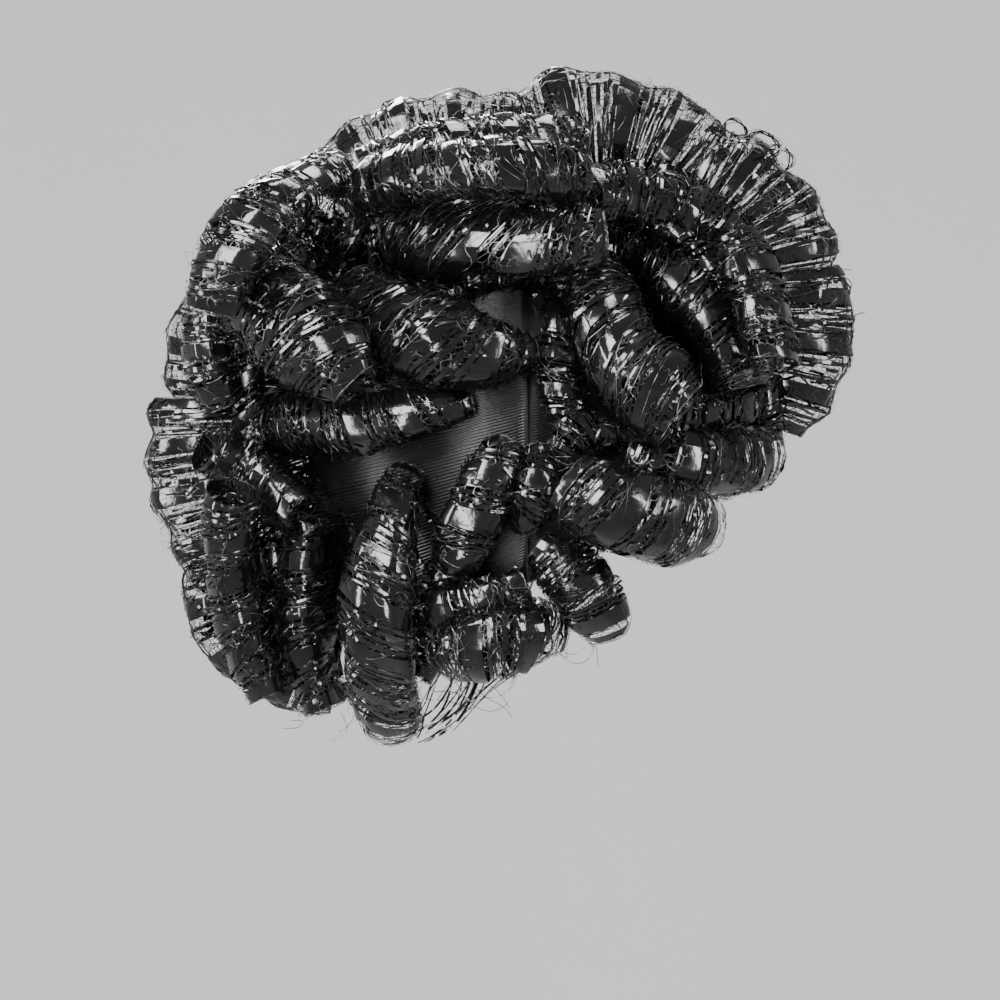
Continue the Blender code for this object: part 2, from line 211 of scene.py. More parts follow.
# Loose strands below the rim.
# Columns: start x, z, middle x, z, end x, z, width, distance from the middle plane
LOOSE_STRANDS = (
    (-22, -186, -20, -208, -47, -222, 1.3, 58),
    (-26, -186, -24, -206, -44, -220, 0.9, 60),
    (-20, -184, -16, -206, -49, -221, 0.5, 61),
    (-30, -188, -26, -204, -46, -218, 0.5, 59),
    (-34, -190, -30, -204, -50, -216, 1.0, 60),
    (-38, -186, -45, -206, -50, -219, 0.7, 61),
    (-42, -188, -44, -202, -52, -214, 0.4, 60),
    (4, -186, -14, -196, -30, -213, 0.5, 60),
    (0, -188, -16, -194, -26, -208, 0.3, 62),
    (-6, -188, -16, -198, -34, -217, 0.4, 59),
    (-22, -194, -34, -198, -43, -208, 0.3, 60),
    (-18, -196, -32, -204, -40, -212, 0.3, 61),
    (-24, -206, -34, -206, -44, -203, 0.3, 60),
    (-30, -190, -16, -203, -8, -211, 0.25, 60),
    (-34, -194, -20, -214, -10, -204, 0.25, 62),
    (-12, -180, -2, -192, -8, -200, 0.25, 62),
    (26, -178, 34, -182, 30, -188, 0.25, 66),
    (10, -180, 22, -190, 26, -184, 0.25, 64),
    (-84, -206, -76, -218, -88, -222, 0.25, 52),
    (-104, -208, -96, -218, -110, -216, 0.25, 40),
)
# Round loops of edge thread that stand off the outline. Columns: x, z, radius, turn about the upright
EDGE_LOOPS = (
    (106, 46, 8.0, 0.2),
    (113, 40, 7.0, -0.3),
    (94, 53, 6.0, 0.5),
    (-150, -78, 6.0, 0.3),
    (-120, 24, 6.0, -0.4),
    (-60, 62, 6.5, 0.3),
    (-30, 66, 6.0, -0.2),
    (140, -18, 6.0, 0.3),
    (-140, -150, 6.0, 0.2),
)

# Camera: the pixel of the photograph's frame at which the hat's origin lies, and its scale
IMAGE_SIZE = 1000
ORIGIN_PIXEL = (528, 248)
PIXELS_PER_MM = 2.2
CAMERA_DISTANCE = 2.3
SENSOR_WIDTH = 0.036

# Studio: the softboxes light the hat's middle. Columns: name, place, width and height, share of the key
# light's power
SOFTBOXES = (
    ("key", (-0.42, -0.68, 0.52), (0.45, 0.45), 1.0),
    ("fill", (0.71, -0.56, 0.25), (0.17, 0.60), 0.42),
    ("front", (-0.28, -0.85, -0.12), (0.14, 0.70), 0.45),
    ("top", (0.07, 0.08, 0.81), (0.45, 0.30), 0.40),
    ("left", (-0.80, -0.30, 0.02), (0.19, 0.70), 0.52),
    ("back", (-0.27, 0.79, 0.52), (0.41, 0.41), 0.6),
)
HAT_MIDDLE = (-0.01, 0.0, -0.07)
AIR_COLOUR = (0.95, 0.97, 1.0, 1)
AIR_STRENGTH = 0.50
# Radius of the flat floor, radius of the bend round it, and height of the wall's top
FLOOR_FLAT, FLOOR_BEND, FLOOR_WALL = 2.6, 0.9, 2.6


# Settings that a user would change


class RuffleSettings(bpy.types.PropertyGroup):
    wide_strip: FloatProperty(
        name="Wide strip", description="Width of a wide film strip", default=8.6 * MM, unit="LENGTH"
    )
    narrow_strip: FloatProperty(
        name="Narrow strip", description="Widest of the narrow film strips", default=2.6 * MM, unit="LENGTH"
    )
    thread: FloatProperty(
        name="Thread", description="Width of a net thread", default=0.27 * MM, unit="LENGTH"
    )
    net_cell: FloatProperty(
        name="Net cell", description="Size of the net's openings", default=3.2 * MM, unit="LENGTH"
    )
    threads: FloatProperty(
        name="Threads", description="Loose threads on each metre of curl", default=680.0
    )
    flecks: FloatProperty(
        name="Flecks", description="Torn bits of film on each metre of curl", default=950.0
    )
    hem_ends: FloatProperty(
        name="Hem ends", description="Spread ribbon ends on each metre of curl", default=900.0
    )
    end_run: FloatProperty(
        name="End run", description="How far ribbon runs past a curl's ends", default=5 * MM, unit="LENGTH"
    )
    film_colour: FloatVectorProperty(
        name="Film colour",
        description="Colour of the film strips",
        subtype="COLOR",
        default=(0.0015, 0.0015, 0.0018),
    )
    thread_colour: FloatVectorProperty(
        name="Thread colour",
        description="Colour of the net threads",
        subtype="COLOR",
        default=(0.0035, 0.0035, 0.0038),
    )


class CapSettings(bpy.types.PropertyGroup):
    rib_pitch: FloatProperty(
        name="Rib pitch", description="Distance between ribs", default=1.45 * MM, unit="LENGTH"
    )
    rib_height: FloatProperty(
        name="Rib height", description="Height of a rib", default=0.9 * MM, unit="LENGTH"
    )
    seam_width: FloatProperty(
        name="Seam width", description="Width of the side seam", default=5.5 * MM, unit="LENGTH"
    )
    cloth_colour: FloatVectorProperty(
        name="Cloth colour",
        description="Colour of the ribbed cloth",
        subtype="COLOR",
        default=(0.0022, 0.0022, 0.0025),
    )


class StudioSettings(bpy.types.PropertyGroup):
    floor_colour: FloatVectorProperty(
        name="Floor colour",
        description="Colour of floor and backdrop",
        subtype="COLOR",
        default=(0.90, 0.90, 0.91),
    )
    floor_height: FloatProperty(
        name="Floor height", description="Height above the hat's origin", default=-1.6, unit="LENGTH"
    )
    key_power: FloatProperty(name="Key light", description="Power of the main light in watts", default=29.0)


# Meshes


def unit(vectors):
    return vectors / np.maximum(np.linalg.norm(vectors, axis=-1, keepdims=True), 1e-12)


def add_object(name, points, faces, materials, indices=None, uvs=None):
    """Links a smooth-shaded mesh object made from arrays of points and of four-cornered faces."""
    points = np.asarray(points, np.float32).reshape(-1, 3)
    faces = np.asarray(faces, np.int32).reshape(-1, 4)
    mesh = bpy.data.meshes.new(name)
    mesh.vertices.add(len(points))
    mesh.vertices.foreach_set("co", points.ravel())
    mesh.loops.add(faces.size)
    mesh.loops.foreach_set("vertex_index", faces.ravel())
    mesh.polygons.add(len(faces))
    mesh.polygons.foreach_set("loop_start", np.arange(0, faces.size, 4, dtype=np.int32))
    if indices is not None:
        mesh.polygons.foreach_set("material_index", np.asarray(indices, np.int32))
    if uvs is not None:
        layer = mesh.uv_layers.new(name="ribbon")
        layer.data.foreach_set("uv", np.asarray(uvs, np.float32).reshape(-1, 2)[faces.ravel()].ravel())
    mesh.update(calc_edges=True)
    mesh.validate()
    mesh.shade_smooth()
    piece = bpy.data.objects.new(name, mesh)
    for material in materials:
        mesh.materials.append(material)
    bpy.context.scene.collection.objects.link(piece)
    return piece


def grid_faces(count, rows, columns):
    """Faces of a number of separate grids of points, each of rows by columns."""
    k, i, j = np.meshgrid(np.arange(count), np.arange(rows - 1), np.arange(columns - 1), indexing="ij")
    corner = (k * rows + i) * columns + j
    return np.stack((corner, corner + 1, corner + columns + 1, corner + columns), axis=-1).reshape(-1, 4)


def ring_faces(rows, columns):
    """Faces of one grid of points whose rows each close into a ring."""
    i, j = np.meshgrid(np.arange(rows - 1), np.arange(columns), indexing="ij")
    after = (j + 1) % columns
    corners = (i * columns + j, (i + 1) * columns + j, (i + 1) * columns + after, i * columns + after)
    return np.stack(corners, axis=-1).reshape(-1, 4)


def tape(line, facing, width):
    """Flat tapes along lines of points, each facing the given way: a grid of points, two across."""
    half = unit(np.cross(unit(np.gradient(line, axis=1)), facing)) * width / 2
    points = np.stack((line - half, line + half), axis=2)
    return points.reshape(-1, 3), grid_faces(line.shape[0], line.shape[1], 2)


def joined(parts):
    """Points and faces of several meshes as one."""
    points, faces, first = [], [], 0
    for part in parts:
        points.append(part[0])
        faces.append(part[1] + first)
        first += len(part[0])
    return np.concatenate(points), np.concatenate(faces)


# Finishes


def new_group(name, inputs, outputs):
    """An empty node group with float inputs and outputs."""
    group = bpy.data.node_groups.new(name, "ShaderNodeTree")
    for label, value in inputs.items():
        socket = group.interface.new_socket(label, in_out="INPUT", socket_type="NodeSocketFloat")
        socket.default_value = value
    for label in outputs:
        group.interface.new_socket(label, in_out="OUTPUT", socket_type="NodeSocketFloat")
    return group, group.nodes.new("NodeGroupInput"), group.nodes.new("NodeGroupOutput")


def grain_group():
    """Uneven grain of a given fineness: a height for bump and a slow mask for wear and sheen."""
    group, given, result = new_group("fine_grain", {"Fineness": 400.0, "Patch": 40.0}, ("Height", "Mask"))
    place = group.nodes.new("ShaderNodeTexCoord")
    for source, target, detail in (("Fineness", "Height", 4.0), ("Patch", "Mask", 2.0)):
        noise = group.nodes.new("ShaderNodeTexNoise")
        noise.inputs["Detail"].default_value = detail
        group.links.new(place.outputs["Object"], noise.inputs["Vector"])
        group.links.new(given.outputs[source], noise.inputs["Scale"])
        group.links.new(noise.outputs["Fac"], result.inputs[target])
    return group


def place_grain(tree, fineness, patch):
    group = bpy.data.node_groups.get("fine_grain") or grain_group()
    node = tree.nodes.new("ShaderNodeGroup")
    node.node_tree = group
    node.inputs["Fineness"].default_value = fineness
    node.inputs["Patch"].default_value = patch
    return node


def new_material(name, colour, roughness, fineness, patch, bump, spread):
    """A Principled material whose colour and roughness wander with the shared grain, which also bumps it.

    roughness is its lowest and highest value, bump its strength and its depth, and spread the share by
    which the colour gets darker and lighter.
    """
    material = bpy.data.materials.new(name)
    material.use_nodes = True
    tree = material.node_tree
    shader = tree.nodes["Principled BSDF"]
    grain = place_grain(tree, fineness, patch)
    ramp = tree.nodes.new("ShaderNodeMapRange")
    ramp.inputs["From Min"].default_value = 0.3
    ramp.inputs["From Max"].default_value = 0.7
    ramp.inputs["To Min"].default_value = roughness[0]
    ramp.inputs["To Max"].default_value = roughness[1]
    tree.links.new(grain.outputs["Mask"], ramp.inputs["Value"])
    tree.links.new(ramp.outputs["Result"], shader.inputs["Roughness"])
    mix = tree.nodes.new("ShaderNodeMix")
    mix.data_type = "RGBA"
    mix.inputs["A"].default_value = (*[c * (1 - spread) for c in colour], 1)
    mix.inputs["B"].default_value = (*[c * (1 + spread) for c in colour], 1)
    tree.links.new(grain.outputs["Mask"], mix.inputs["Factor"])
    tree.links.new(mix.outputs["Result"], shader.inputs["Base Color"])
    height = tree.nodes.new("ShaderNodeBump")
    height.inputs["Strength"].default_value = bump[0]
    height.inputs["Distance"].default_value = bump[1]
    tree.links.new(grain.outputs["Height"], height.inputs["Height"])
    tree.links.new(height.outputs["Normal"], shader.inputs["Normal"])
    return material, shader


def film_finish():
    """Thin black film: hard gloss with faint creases."""
    done = bpy.data.materials.get("glossy_film")
    if done:
        return done
    colour = bpy.context.scene.hat_ruffles.film_colour
    material, shader = new_material(
        "glossy_film", colour, roughness=(0.07, 0.20), fineness=400, patch=55, bump=(0.26, 0.0004), spread=0.4
    )
    shader.inputs["Specular IOR Level"].default_value = 0.35
    return material


def thread_finish():
    """Fine black thread with a soft shine."""
    done = bpy.data.materials.get("net_thread")
    if done:
        return done
    colour = bpy.context.scene.hat_ruffles.thread_colour
    material, shader = new_material(
        "net_thread", colour, roughness=(0.28, 0.45), fineness=1500, patch=80, bump=(0.2, 0.0002), spread=0.5
    )
    shader.inputs["Specular IOR Level"].default_value = 0.5
    return material


def net_finish():
    """Open net: cell walls stay, and what lies between them is clear."""
    done = bpy.data.materials.get("open_net")
    if done:
        return done
    settings = bpy.context.scene.hat_ruffles
    colour = settings.thread_colour
    material, shader = new_material(
        "open_net", colour, roughness=(0.35, 0.5), fineness=1500, patch=80, bump=(0.2, 0.0002), spread=0.5
    )
    tree = material.node_tree
    place = tree.nodes.new("ShaderNodeUVMap")
    place.uv_map = "ribbon"
    cells = tree.nodes.new("ShaderNodeTexVoronoi")
    cells.feature = "DISTANCE_TO_EDGE"
    cells.voronoi_dimensions = "2D"
    cells.inputs["Scale"].default_value = 1 / settings.net_cell
    edge = tree.nodes.new("ShaderNodeMath")
    edge.operation = "LESS_THAN"
    edge.inputs[1].default_value = 0.5 * settings.thread / settings.net_cell
    tree.links.new(place.outputs["UV"], cells.inputs["Vector"])
    tree.links.new(cells.outputs["Distance"], edge.inputs[0])
    tree.links.new(edge.outputs["Value"], shader.inputs["Alpha"])
    return material


def rib_finish():
    """Matte ribbed stretch cloth."""
    cloth = bpy.context.scene.hat_cap.cloth_colour
    material, shader = new_material(
        "ribbed_cloth", cloth, roughness=(0.24, 0.34), fineness=1400, patch=30, bump=(0.3, 0.0002), spread=0.35
    )
    shader.inputs["Specular IOR Level"].default_value = 0.20
    return material


# Where the curls lie, measured on the frame


def from_cap(points):
    """Outward direction at points, away from the surface that the curls lie on."""
    away = points - CAP_CENTRE
    half = np.where(away[:, 2:] < 0, HANGING_HALF, CAP_HALF)
    return unit(away / half**2)


def surface_of(name):
    """The surface of one of the frame's solids, ready to be searched."""
    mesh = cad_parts[name].data
    points = [v.co.copy() for v in mesh.vertices]
    return BVHTree.FromPolygons(points, [tuple(p.vertices) for p in mesh.polygons])


def hits_along(tree, start, direction, reach):
    """Distances at which a straight line meets a surface."""
    start, direction = Vector(start), Vector(direction).normalized()
    found, gone = [], 0.0
    while gone < reach:
        spot, _, _, step = tree.ray_cast(start + direction * gone, direction, reach - gone)
        if spot is None:
            break
        found.append(gone + step)
        gone += step + 1e-5
    return found


def through(rows, shares):
    """Points of the smooth curve through the rows of a table, at shares of its length."""
    rows = np.asarray(rows, float)
    steps = np.linalg.norm(np.diff(rows[:, :2], axis=0), axis=1)
    knots = np.concatenate(((0.0,), np.cumsum(steps))) / steps.sum()
    result = np.zeros((len(shares), rows.shape[1]))
    for i, row in enumerate(rows):
        others = np.delete(knots, i)
        result += np.prod((shares[:, None] - others) / (knots[i] - others), axis=1)[:, None] * row
    return result


class Curl:
    """A curl's path and section, with points of its ribbon anywhere along and across it."""

    SAMPLES = 49
    MEASURED = np.array((0.08, 0.22, 0.36, 0.50, 0.64, 0.78, 0.92))

    def __init__(self, name, rows, side, seed):
        """side is 0 for a curl of the outline, -1 for the right and 1 for the left."""
        self.random = np.random.default_rng(seed)
        self.under = len(rows[0]) == 4
        self.hidden_ridge = side != 0
        cap = surface_of("cap")
        tree = cap if self.under else surface_of(name if side == 0 else f"right_{name}")
        flat_length = np.linalg.norm(np.diff(np.array(rows)[:, :2], axis=0), axis=1).sum() * MM
        run = bpy.context.scene.hat_ruffles.end_run * (2 if side == 0 else 1) / flat_length
        shares = np.linspace(-run, 1 + run, self.SAMPLES)
        x, z, reach, *own = through(rows, shares).T * MM
        if self.under:
            y = -own[0]
        else:
            y = np.zeros(self.SAMPLES) if side == 0 else self.depths(tree, rows, shares)
        self.centre = np.column_stack((x, y, z))
        near = np.array([cap.find_nearest(Vector(p))[0] for p in self.centre])
        along = unit(np.gradient(self.centre, axis=0))
        away = unit(from_cap(self.centre) + unit(self.centre - near))
        self.side = unit(np.cross(along, away))
        self.away = np.cross(self.side, along)
        steps = np.linalg.norm(np.diff(self.centre, axis=0), axis=1)
        self.at = np.concatenate(((0.0,), np.cumsum(steps)))
        self.length = self.at[-1]
        to_end = np.clip(np.minimum(self.at, self.length - self.at) / END_RUN, 0, 1)
        full = 1 - (OUTLINE_NARROWING if side == 0 else SIDE_NARROWING) * (1 - to_end) ** 2
        self.wide = reach * (RING_WIDTH if side == 0 else 1) * full
        self.high = reach * (1 if side == 0 else SIDE_DEPTH) * full
        self.foot = self.feet(tree)
        if name in OPEN_ENDS:
            from_end = self.at if OPEN_ENDS[name] == 0 else self.length - self.at
            shown = np.clip(from_end / OPEN_RUN, 0, 1) ** 0.7
            self.foot = self.high + (self.foot - self.high) * shown
        if side == 1:
            mirror = np.array((1, -1, 1))
            self.centre, self.side, self.away = (a * mirror for a in (self.centre, self.side, self.away))
        self.phase = self.random.uniform(0, math.tau, 4)
        by_chance = 0
        if side != 0:
            by_chance = self.random.choice((-1, 1)) * LEAN_BY_CHANCE * self.random.uniform(0.3, 1)
        self.lean = LEANS.get(name, by_chance) * self.length

    def depths(self, tree, rows, shares):
        """Distance from the middle plane, read from the hollow of the frame's solid."""
        found = []
        for share, (x, z, *_) in zip(self.MEASURED, through(rows, self.MEASURED)):
            hits = hits_along(tree, (x * MM, -OUTSIDE, z * MM), (0, 1, 0), OUTSIDE)
            if len(hits) >= 3:
                found.append((share, -OUTSIDE + (hits[1] + hits[2]) / 2))
        if len(found) < 4:
            raise RuntimeError("a curl isn't where the table says")
        found = np.array(found)
        return np.polyval(np.polyfit(found[:, 0], found[:, 1], 2), shares)

    def feet(self, tree):
        """Length of the foot, read from the frame's solid."""
        lengths = []
        for centre, away, high in zip(self.centre, self.away, self.high):
            hits = hits_along(tree, centre, -away, DEEPEST_FOOT)
            reached = 0
            if hits:
                reached = hits[0] if self.under else hits[-1]
            lengths.append(max(reached, high + 2 * MM))
        ends = max(2, self.SAMPLES // 12)
        lengths = np.array(lengths)
        lengths[:ends], lengths[-ends:] = lengths[ends], lengths[-ends - 1]
        return lengths

    def cut(self):
        """Mean width of the ribbon round the roll and down both sides of the foot."""
        arc = 2 * ROLL_HALF_ANGLE * np.sqrt((self.wide**2 + self.high**2) / 2)
        return float(np.mean(arc + 2 * (self.foot - 0.85 * self.high)))

    def points(self, along, across, lift):
        """Points at a distance along the curl and a share across its ribbon, from foot (-1) to foot (1).

        The ribbon leans along the curl, less near its ends, and its roll swells and shrinks in waves.
        """
        along, across, lift = np.broadcast_arrays(along, across, lift)
        room = np.minimum(along, self.length - along) / (1.3 * abs(self.lean) + 1e-9)
        along = along + self.lean * np.clip(room, 0, 1) * np.clip(across / ROLL_SHARE, -1, 1)
        at = np.interp(np.clip(along, 0, self.length), self.at, np.arange(self.SAMPLES))
        low = np.minimum(at.astype(int), self.SAMPLES - 2)
        share = (at - low)[..., None]

        def between(values):
            values = values if values.ndim > 1 else values[:, None]
            return values[low] * (1 - share) + values[low + 1] * share

        wide, high, foot = (between(v)[..., 0] for v in (self.wide, self.high, self.foot))
        turn = np.clip(across / ROLL_SHARE, -1, 1) * ROLL_HALF_ANGLE
        swell = 1
        for phase, (height, onward, round_it) in zip(self.phase, SWELLS):
            swell = swell + height * np.sin(round_it * turn + phase + onward * along)
        sideways = (wide * swell + lift) * np.sin(turn)
        outward = (high * swell + lift) * np.cos(turn)
        if not self.hidden_ridge:
            scallop = np.abs(np.sin(along * 150 + self.phase[0]))
            scallop = scallop + 0.5 * np.sin(along * 330 + self.phase[1]) - 0.4
            outward = outward + SCALLOP * scallop * np.exp(-((turn / SCALLOP_SPREAD) ** 2))
        down = np.clip((np.abs(across) - ROLL_SHARE) / (1 - ROLL_SHARE), 0, 1)
        sideways = sideways * (1 - down) ** 2 + np.sign(across) * (PINCH + lift) * (1 - (1 - down) ** 2)
        outward = outward * (1 - down) - foot * down
        spots = between(self.centre) + sideways[..., None] * between(self.side)
        return spots + outward[..., None] * between(self.away)


def net_of(curl, columns=26, spacing=3.5 * MM):
    """The net ribbon of a curl: points, faces and places on the flat ribbon."""
    rows = max(6, int(curl.length / spacing))
    along = np.linspace(0, curl.length, rows)[:, None]
    across = np.linspace(-1, 1, columns)[None]
    ripple = 0.5 * MM * np.sin(along * 700 + across * 5 + curl.phase[2])
    points = curl.points(along, across, ripple)
    offset = curl.random.uniform(0, 5, 2)
    half = curl.cut() / 2
    uvs = np.stack(np.broadcast_arrays(along + offset[0], across * half + offset[1]), axis=-1)
    return points.reshape(-1, 3), grid_faces(1, rows, columns), uvs.reshape(-1, 2)


def strip_plan(curl, margin=0.4 * MM, end_width=(0.3, 0.55), full_width=(0.6, 1.0)):
    """Middles and widths of a curl's film strips: a wide one, then a run of narrow ones, again and again."""
    settings = bpy.context.scene.hat_ruffles
    random, wide, narrow = curl.random, [], []
    last = settings.wide_strip * random.uniform(*end_width)
    place, stop = margin, curl.length - last - 2 * margin
    while place < stop - 5 * MM:
        width = settings.wide_strip * random.uniform(*(full_width if wide else end_width))
        wide.append((place + width / 2, width))
        place += width
        for _ in range(random.integers(6, 12)):
            width = settings.narrow_strip * random.uniform(0.15, 0.8) ** 1.3
            place += random.uniform(0.1, 0.9) * MM
            if place + width < stop:
                narrow.append((place + width / 2, width))
            place += width
        place += random.uniform(0.2, 0.8) * MM
    wide.append((curl.length - last / 2 - margin, last))
    return np.array(wide).T, np.array(narrow).T


def strips_of(curl, plan, folds, ply, loose, parted):
    """Film strips laid across a curl's ribbon, flat between folds.

    ply is the number of points across a strip, loose says how freely it strays, and parted is the share
    of the strips that lie on one side of the ridge alone.
    """
    middle, width = plan
    count, random = len(middle), curl.random
    size = (count, 1, 1)
    corner = (count, folds + 1, 1)
    step = np.linspace(-1, 1, folds + 1)[None, :, None]
    turn = step + random.uniform(-0.8, 0.8, corner) / folds
    flank = random.choice((-1, 1), size) * (RIDGE + (1 - RIDGE) * (turn + 1) / 2)
    turn = np.where(random.random(size) < parted, flank, turn)
    edge = np.linspace(-0.5, 0.5, ply)[None, None]
    drift = random.normal(0, 0.5 + loose, size) * MM
    wander = drift * np.sin(turn * random.uniform(1, 3, size) + random.uniform(0, math.tau, size))
    wander = wander + random.normal(0, 0.4 * loose, corner) * MM
    tilt = random.normal(0, 0.10 + 0.16 * loose, corner) + random.normal(0, 0.12, size)
    tilt = np.tan(np.clip(tilt, -1, 1))
    crown = 0.04 * width.reshape(size) * (1 - (2 * edge) ** 2)
    across = edge * width.reshape(size)
    lift = (0.6 + random.uniform(0, 0.8, size) + random.normal(0, 0.36 + 0.2 * loose, corner)) * MM
    reach = np.where(random.random(size) < 0.75, 0.97, random.uniform(0.5, 0.95, size))
    bent = curl.points(middle.reshape(size) + across + wander, turn * reach, lift + crown + across * tilt)
    fold = 0.10
    near = bent[:, :-1] * (1 - fold) + bent[:, 1:] * fold
    far = bent[:, :-1] * fold + bent[:, 1:] * (1 - fold)
    points = np.stack((near, far), axis=2)
    return points.reshape(-1, 3), grid_faces(count, 2 * folds, ply)


def flecks_of(curl):
    """Short torn bits of film that lie askew between the strips."""
    settings = bpy.context.scene.hat_ruffles
    random = curl.random
    count = int(curl.length * settings.flecks)
    size = (count, 1, 1)
    step = np.linspace(-0.5, 0.5, 3)[None, :, None]
    edge = np.linspace(-0.5, 0.5, 2)[None, None]
    long = random.uniform(1.5, 6.5, size) * MM
    width = random.uniform(0.3, 1.2, size) * MM
    skew = random.normal(0, 0.45, size)
    turn = random.uniform(-0.8, 0.8, size)
    if not curl.hidden_ridge:
        turn = np.where(np.abs(turn) < RIDGE, turn + np.sign(turn) * RIDGE, turn)
    around = long / (ROLL_HALF_ANGLE / ROLL_SHARE * curl.wide.mean())
    along = random.uniform(0, curl.length, size) + step * long * np.sin(skew) + edge * width * np.cos(skew)
    across = turn + step * around * np.cos(skew) - edge * around * width / long * np.sin(skew)
    lift = (1.0 + random.uniform(0, 1.2, size) + random.normal(0, 0.3, (count, 3, 2))) * MM
    return curl.points(along, across, lift).reshape(-1, 3), grid_faces(count, 3, 2)


def threads_of(curl, columns=34, at_ends=8, on_ridge=14, outline_share=1.3):
    """Net threads over a curl: some run round it in zigzags, some along it in scallops.

    A few lie across the ribbon at the curl's two ends, and on the outline some run along its ridge.
    """
    settings = bpy.context.scene.hat_ruffles
    random = curl.random
    count = int(curl.length * settings.threads * (1 if curl.hidden_ridge else outline_share))
    size = (count, 1)
    step = np.linspace(0, 1, columns)[None]
    lengthwise = random.random(size) < 0.35
    start = random.uniform(0, 1, size) * curl.length
    swing = random.uniform(0.5, 3.5, size) * MM
    swing = swing * np.sin(step * random.uniform(4, 14, size) + random.uniform(0, 6, size))
    across_first = random.uniform(-0.85, 0.85, size)
    across_last = across_first + random.choice((-1, 1), size) * random.uniform(0.25, 1.2, size)
    across_last = np.clip(across_last, -0.95, 0.95)
    scallop = 0.05 * np.abs(np.sin(step * random.uniform(12, 30, size)))
    stop = np.clip(start + random.normal(0, 0.35, size) * curl.length, 0, curl.length)
    slant = random.normal(0, 9, size) * MM * (step - 0.5)
    along = np.where(lengthwise, start + (stop - start) * step, start + swing + slant)
    across = np.where(lengthwise, across_first + scallop, across_first + (across_last - across_first) * step)
    bowed = random.random(size) < 0.12
    bow = np.where(bowed, random.uniform(1.5, 5, size), 0) * np.sin(math.pi * step) ** 2
    lift = 0.8 + random.uniform(0, 1.6, size) + bow
    lift = (lift + 0.5 * np.sin(step * 19 + random.uniform(0, 6, size))) * MM

    few = (at_ends, 1)
    end = (np.arange(at_ends)[:, None] % 2) * (curl.length - 0.6 * MM) + random.uniform(0, 0.6, few) * MM
    along = np.concatenate((along, end + 0.5 * MM * np.sin(step * 40 + random.uniform(0, 6, few))))
    across = np.concatenate((across, np.repeat(1.9 * step - 0.95, at_ends, axis=0)))
    lift = np.concatenate((lift, random.uniform(0.4, 1.8, (at_ends, columns)) * MM))
    width = settings.thread * random.uniform(0.6, 1.3, (count + at_ends, 1, 1))
    if not curl.hidden_ridge:
        few = (on_ridge, 1)
        ridge = 0.22 * random.uniform(-1, 1, few) * (np.arange(on_ridge)[:, None] > 5)
        along = np.concatenate((along, np.repeat(step * curl.length, on_ridge, axis=0)))
        wave = 0.02 * np.sin(step * random.uniform(20, 45, few) + ridge * 90)
        across = np.concatenate((across, ridge + wave))
        lift = np.concatenate((lift, random.uniform(0.2, 1.6, (on_ridge, columns)) * MM))
        width = np.concatenate((width, random.uniform(0.3, 0.9, (on_ridge, 1, 1)) * MM))
    line = curl.points(along, across, lift)
    facing = unit(curl.points(along, across, lift + MM) - line)
    twist = random.normal(0, 0.55, facing.shape)
    return tape(line, unit(facing + twist), width)


def hems_of(curl, cap, columns=9, seat_gap=9 * MM):
    """Gathered ribbon ends that spread from a curl's foot over the cap: film strips, then threads.

    There are none where the foot ends further from the cap than seat_gap, or where bare cloth shows.
    """
    settings = bpy.context.scene.hat_ruffles
    random = curl.random
    lines, facings = [], []
    for _ in range(int(curl.length * settings.hem_ends)):
        at = random.uniform(0, curl.length)
        side = random.choice((-1.0, 1.0))
        places = np.array((at, at, min(at + MM, curl.length), at))
        shares = np.array((1.0, 0.55, 1.0, 0.0)) * side
        base, toward, onward, roll = curl.points(places, shares, np.zeros(4))
        seat = cap.find_nearest(Vector(base))[0]
        if (Vector(base) - seat).length > seat_gap:
            continue
        spread = unit(toward - roll) * random.uniform(0.4, 1)
        spread = spread + unit(onward - base + 1e-9) * random.normal(0, 0.8)
        reach = random.uniform(7, 24) * MM
        end = base + unit(spread) * reach
        if any(x0 < end[0] < x1 and z0 < end[2] < z1 for x0, x1, z0, z1 in BARE_CLOTH):
            continue
        line, facing = [], []
        for share in np.linspace(-0.15, 1, columns):
            spot, normal, _, _ = cap.find_nearest(Vector(base + unit(spread) * reach * share))
            out = np.array(normal) * (1 if np.dot(normal, np.array(spot) - CAP_CENTRE) > 0 else -1)
            height = 1.0 + 4.5 * math.sin(math.pi * min(max(share, 0), 1)) * random.uniform(0.5, 1)
            line.append(np.array(spot) + out * height * MM)
            facing.append(out)
        lines.append(line)
        facings.append(facing)
    if not lines:
        nothing = np.zeros((0, 3)), np.zeros((0, 4), int)
        return nothing, nothing
    lines, facings = np.array(lines), np.array(facings)
    lines += random.normal(0, 0.25, lines.shape) * MM
    film = random.random(len(lines)) < 0.55
    width = random.uniform(0.4, 1, (len(lines), 1, 1)) * settings.narrow_strip
    strips = tape(lines[film], facings[film] + random.normal(0, 0.3, facings[film].shape), width[film])
    return strips, tape(lines[~film], facings[~film], np.full((int((~film).sum()), 1, 1), settings.thread))


